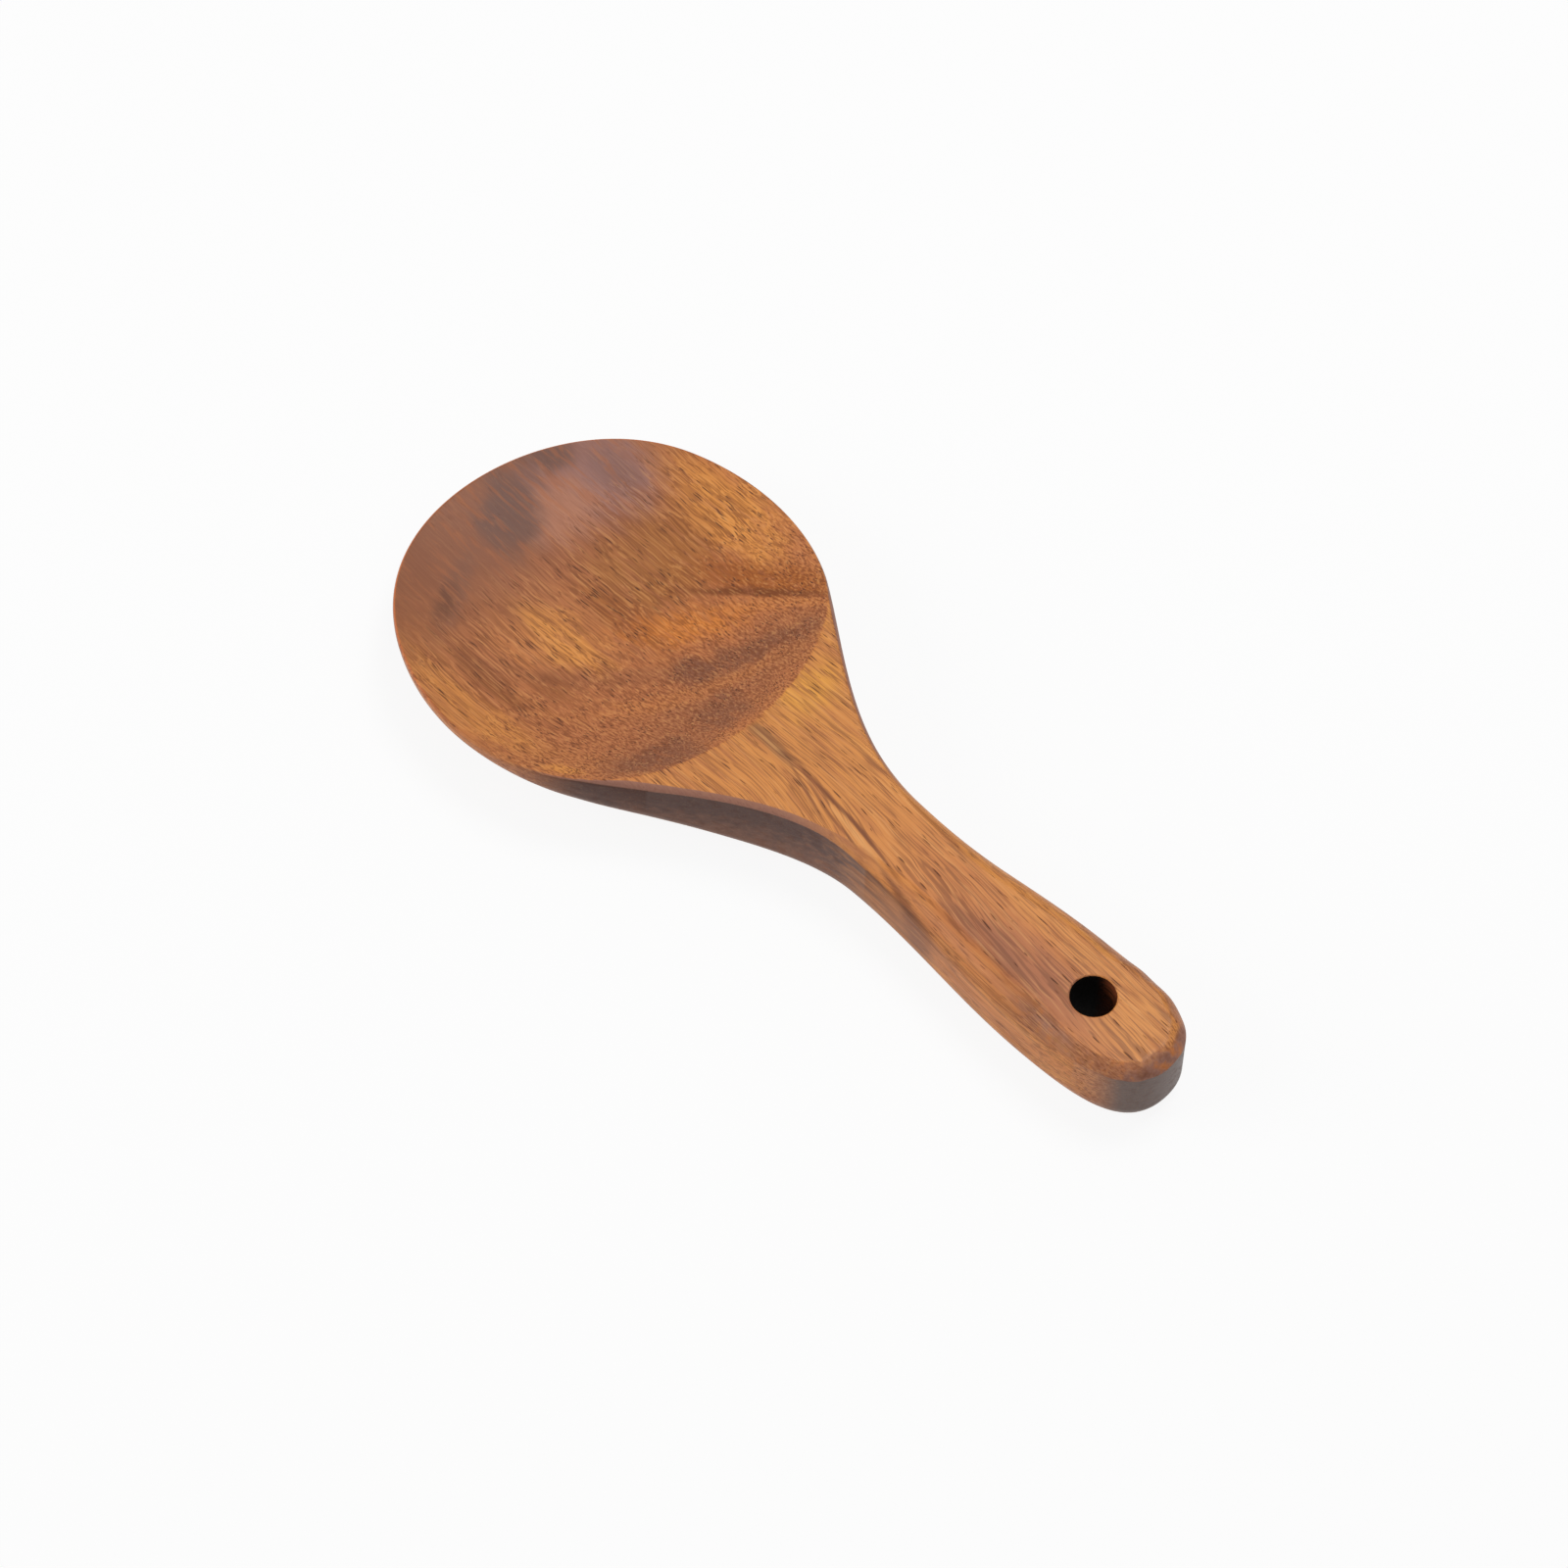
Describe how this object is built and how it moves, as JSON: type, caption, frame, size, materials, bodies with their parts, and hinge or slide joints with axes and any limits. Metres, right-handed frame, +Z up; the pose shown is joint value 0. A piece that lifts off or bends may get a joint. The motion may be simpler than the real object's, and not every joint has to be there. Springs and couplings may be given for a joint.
{
  "type": "serving spoon",
  "caption": "Hardwood serving spoon with a wide, shallow, nearly round bowl for scooping, a waisted neck and a thick flat handle with rounded edges and a hanging hole.",
  "frame": {"origin": "middle of the spoon's length and width, on the level that its underside rests on", "axes": "+X along the handle, from the tip of the bowl to the end of the handle; +Z up, out of the hollow of the bowl"},
  "size_m": [0.205, 0.0874, 0.018],
  "materials": {
    "oiled_wood": "oiled to a soft satin"
  },
  "bodies": {
    "root": {"spoon": "oiled_wood"}
  },
  "joints": []
}
